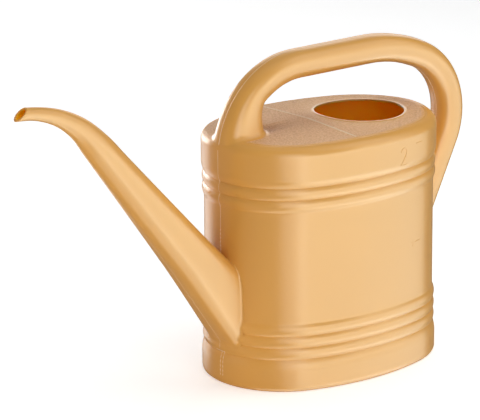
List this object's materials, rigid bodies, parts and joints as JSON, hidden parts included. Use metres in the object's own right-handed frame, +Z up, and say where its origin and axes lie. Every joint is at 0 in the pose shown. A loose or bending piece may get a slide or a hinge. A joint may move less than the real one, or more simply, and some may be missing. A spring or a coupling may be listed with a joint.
{
  "type": "watering can",
  "caption": "Blow-moulded plastic watering can: oval beaded tank with an oval filler opening, long upturned tapering spout and a high loop handle.",
  "frame": {"origin": "centre of the oval footprint, on the ground under the standing rim", "axes": "+Z up, the spout points along -X and the rear of the handle along +X, the mould's parting plane is XZ"},
  "size_m": [0.3597, 0.1158, 0.2138],
  "materials": {
    "skin": "satin honey-yellow polyethylene, coloured right through",
    "grained_skin": "the same honey-yellow polyethylene with a fine moulded grain"
  },
  "bodies": {
    "root": {"base": "skin", "foot_band": "skin", "lower_beads": "skin", "smooth_wall": "skin", "upper_beads": "skin", "shoulder_band": "skin", "deck": "grained_skin", "filler_lip": "skin", "spout_root": "skin", "spout_tube": "skin", "spout_neck": "skin", "spout_mouth": "skin", "handle_front_leg": "skin", "handle_grip": "skin", "handle_rear_bend": "skin", "handle_rear_leg": "skin"}
  },
  "joints": []
}
